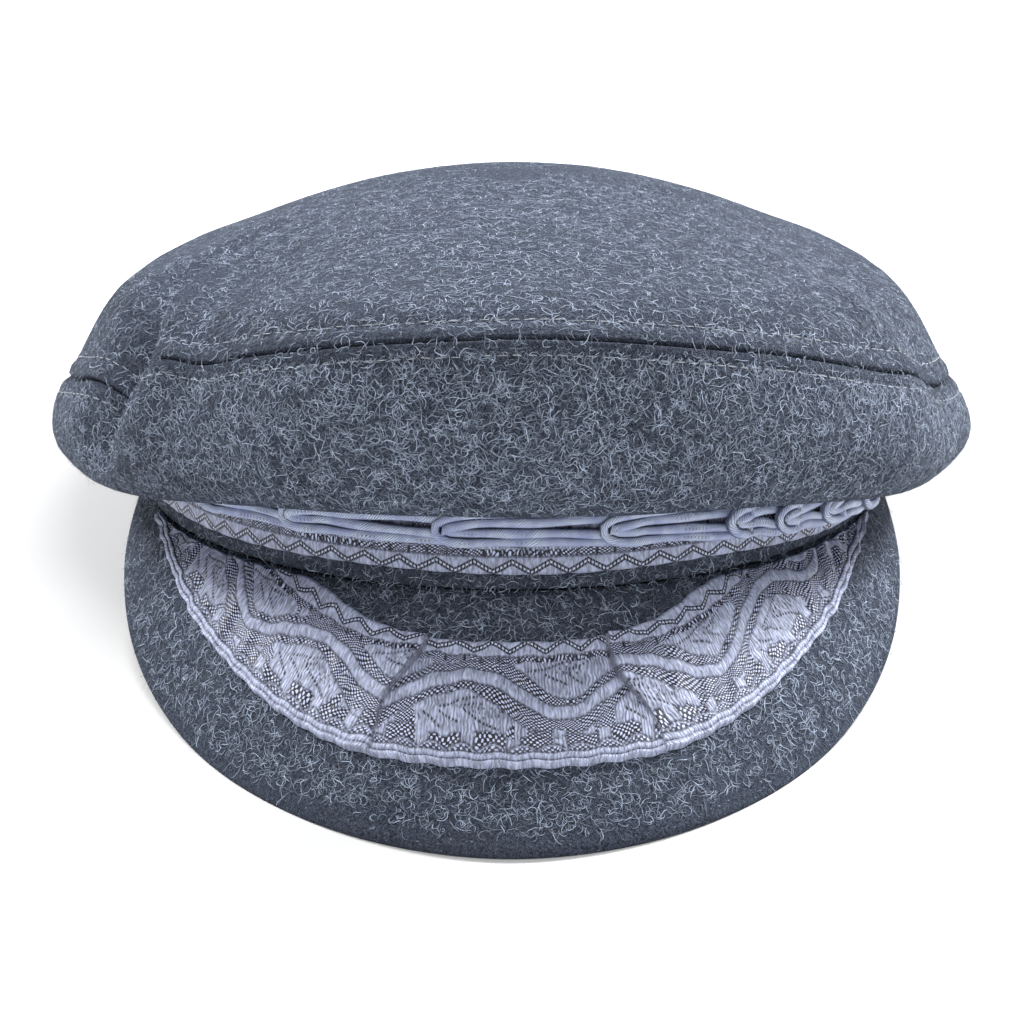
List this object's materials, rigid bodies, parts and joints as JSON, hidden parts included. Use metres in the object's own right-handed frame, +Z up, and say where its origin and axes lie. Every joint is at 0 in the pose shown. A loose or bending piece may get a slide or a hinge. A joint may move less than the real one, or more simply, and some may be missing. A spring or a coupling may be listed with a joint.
{
  "type": "breton fisherman cap",
  "caption": "Soft wool fisherman cap with a sloping visor, woven ribbon trim and a looped cord braid over the band.",
  "frame": {"origin": "centre of the cap's outline seen from above, on the surface it rests on", "axes": "+Z up, -Y towards the front of the visor, +X to the right seen from the front"},
  "size_m": [0.2182, 0.2746, 0.1021],
  "materials": {
    "wool": "matte",
    "ribbon": "satin",
    "cord": "satin"
  },
  "bodies": {
    "root": {"crown_top": "wool", "crown_side": "wool", "band": "wool", "band_ribbon": "ribbon", "cord_braid": "cord", "visor": "wool", "visor_trim": "ribbon"}
  },
  "joints": []
}
